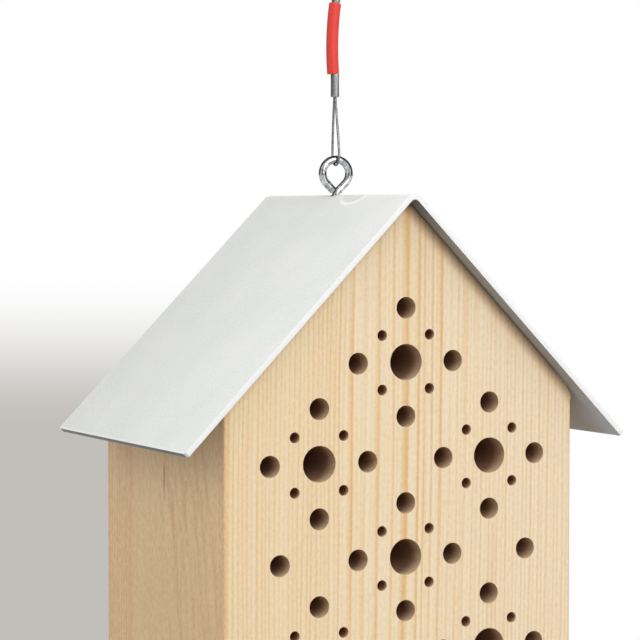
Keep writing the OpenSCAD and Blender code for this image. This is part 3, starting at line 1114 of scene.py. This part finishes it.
# %% Plastic
def make_plastic():
    plastic = Finish("red_plastic")
    mottle = plastic.noise(1.4, 3.0, 0.6)
    plastic.feed("Base Color", plastic.mix(mottle, tone(216, 52, 46), tone(234, 76, 64)))
    plastic.feed("Roughness", 0.5 + mottle * 0.15)
    plastic.bump(mottle, 0.08, 0.0002)
    plastic.set(Specular_IOR_Level=0.35)
    return plastic


plastic = make_plastic()

# %% Dress the small pieces
dressed = [
    (rope, steel),
    (eye, zinc),
    (lower_ferrule, alloy),
    (upper_ferrule, alloy),
    (sleeve, plastic),
]
for piece, finish in dressed:
    piece.data.materials.clear()
    piece.data.materials.append(finish.material)
    print(piece.name, "is finished in", finish.material.name)

# %% [markdown]
# ## Join the pieces to the frame
#
# Each piece rides on the body that carries it and stands for its node, whose imported mesh is hidden.

# %% Ride and replace
riders = [
    (block, "house", "nest_block", "wood"),
    (roof, "house", "roof_sheet", "roof_sheet"),
    (eye, "house", "screw_eye", "steel"),
    (rope, "hanger", "hanging_cable", "steel"),
    (lower_ferrule, "hanger", "lower_ferrule", "ferrule"),
    (upper_ferrule, "hanger", "upper_ferrule", "ferrule"),
    (sleeve, "hanger", "cable_sleeve", "sleeve"),
]
for piece, body, node, slot_name in riders:
    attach(piece, body)
    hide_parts(node)
    print(piece.name, "rides on", body)

# %% [markdown]
# ## Floor, backdrop and light
#
# The house hangs above a plain pale floor, which turns to plain white further out, so that no edge of
# it shows. A backdrop well behind the house carries a painted shadow, a soft grey at the lower left
# of the view, and everything else there is white. Floor and backdrop are left out of the light that
# falls on the house.

# %% The floor
floor_height = -570 * MM
floor_radius = 6000 * MM
fade_from, fade_to = 350.0, 1100.0


def make_floor():
    """Pale paint. It fades to white over two distances in millimetres from the rope's line."""
    paint = Finish("pale_floor")
    x, y, _ = paint.axes()
    paint.set(Base_Color=tone(238, 238, 238), Roughness=0.9, Specular_IOR_Level=0.1)
    far = (x**2.0 + y**2.0).root().ramp(fade_from, fade_to)
    shader = Val(paint, paint.shader.outputs[0])
    white = paint.node("ShaderNodeEmission", {}, {})
    blend = paint.node("ShaderNodeMixShader", {}, {0: far, 1: shader, 2: white})
    paint.tree.links.new(blend.socket, paint.tree.nodes["Material Output"].inputs[0])
    return paint


start_clean()
bpy.ops.mesh.primitive_circle_add(
    vertices=96, radius=floor_radius, fill_type="NGON", location=(0, 0, floor_height)
)
floor = bpy.context.object
floor.name = "floor"
bpy.ops.object.transform_apply(location=True, rotation=True, scale=True)
floor.data.materials.append(make_floor().material)
floor.visible_diffuse = False
print("floor %.0f mm below the foot of the house" % ((base - floor_height) / MM))

# %% The backdrop
azimuth = math.radians(camera_azimuth)
view_flat = Vector((math.sin(azimuth), math.cos(azimuth), 0))
picture_width = 640
backdrop_size = 1500 * MM
backdrop_away = 2650 * MM
pixel = backdrop_away / (camera_lens / sensor_width * picture_width)
backdrop_middle = Vector(camera_place) + view_flat * backdrop_away
backdrop_middle.z -= backdrop_away * math.tan(math.radians(camera_pitch))


def make_backdrop():
    """White, with a painted shadow of soft grey. Across and down are in pixels from the middle of the
    view.
    """
    wall = Finish("backdrop_paint")
    x, y, z = wall.axes()
    unit = pixel / MM
    right = Vector((view_flat.y, -view_flat.x))
    middle_across = backdrop_middle.x * right.x + backdrop_middle.y * right.y
    across = (x * right.x + y * right.y - middle_across / MM) / unit
    down = (backdrop_middle.z / MM - z) / unit
    # Painted shadow: a soft grey at the lower left of the view.
    left_side = across.ramp(20.0, -40.0)
    low_side = down.ramp(-48.0, 112.0)
    painted_shadow = wall.mix(low_side * left_side, (1, 1, 1, 1), tone(194, 191, 186))
    glow = wall.node("ShaderNodeEmission", {}, {0: painted_shadow})
    wall.tree.links.new(glow.socket, wall.tree.nodes["Material Output"].inputs[0])
    return wall


start_clean()
bpy.ops.mesh.primitive_plane_add(
    size=backdrop_size,
    location=backdrop_middle,
    rotation=(math.radians(90), 0, math.radians(-camera_azimuth)),
)
backdrop = bpy.context.object
backdrop.name = "backdrop"
bpy.ops.object.transform_apply(location=True, rotation=True, scale=True)
backdrop.data.materials.append(make_backdrop().material)
backdrop.visible_diffuse = False
print("a pixel is %.2f mm wide on the backdrop" % (pixel / MM))

# %% [markdown]
# The world lights the house softly from above, from behind, where the backdrop is bright, and a
# little from the left. Hardly any comes from the front and below, which leaves the front
# undersides in shade. The camera sees it white. Shiny things see a ring of white screens in
# front, a grey gap in its middle where the picture is taken, and a dark room to the sides, which
# gives a bright wire its dark rims.

# %% The world
class Sky(Finish):
    """The world's nodes, with the direction that is looked in to start from."""

    def __init__(self, world):
        self.tree = world.node_tree
        self.place = self.node("ShaderNodeTexCoord", {}, {}, "Generated")
        self.rays = self.node("ShaderNodeLightPath", {}, {}, "Is Camera Ray").socket.node

    def ray(self, kind):
        return Val(self, self.rays.outputs[kind])


world = bpy.data.worlds.new("studio")
bpy.context.scene.world = world
world.use_nodes = True
sky = Sky(world)
east, north, height = sky.axes()
ahead = east * view_flat.x + north * view_flat.y
upper = height.ramp(-0.3, 0.3)
rear = ahead.ramp(-0.5, 0.4)
overhead = height.ramp(0.0, 0.9)
from_left = east.ramp(0.0, -0.9)
light = 0.1 + upper * (0.36 + rear * 0.18) + (1 - upper) * rear * 0.85
light = light + overhead * 0.52 + from_left * 0.17
camera_gap = ahead.ramp(-0.82, -0.95)
screens = ahead.ramp(-0.25, -0.6) * (1 - camera_gap * 0.7)
mirrored = 0.08 + screens * 0.85
seen = sky.ray("Is Camera Ray")
shiny = sky.ray("Is Glossy Ray") + sky.ray("Is Transmission Ray")
strength = seen + (1 - seen) * (shiny * mirrored + (1 - shiny) * light)
background = world.node_tree.nodes["Background"]
background.inputs["Color"].default_value = (1, 1, 1, 1)
world.node_tree.links.new(strength.socket, background.inputs["Strength"])
print("nodes in the world:", len(world.node_tree.nodes))

# %% [markdown]
# One large soft lamp stands straight in front and a little above. It makes the front brighter than
# the side, throws a narrow soft shadow under the roof, and lights the lower rim of each hole. The
# Standard view transform then shows each colour about as it is written above.

# %% The key lamp
lamp_place = Vector((40 * MM, -1260 * MM, 360 * MM))
lamp_size = 700 * MM
lamp_watts = 11.0
house_middle = Vector((0, 0, -170 * MM))
key_data = bpy.data.lights.new("key", "AREA")
key_data.shape = "DISK"
key_data.size = lamp_size
key_data.energy = lamp_watts
key = bpy.data.objects.new("key", key_data)
bpy.context.scene.collection.objects.link(key)
key.location = lamp_place
key.rotation_euler = (house_middle - lamp_place).to_track_quat("-Z", "Y").to_euler()
bpy.context.scene.view_settings.view_transform = "Standard"
print("key lamp %.2f m from the house" % (house_middle - lamp_place).length)
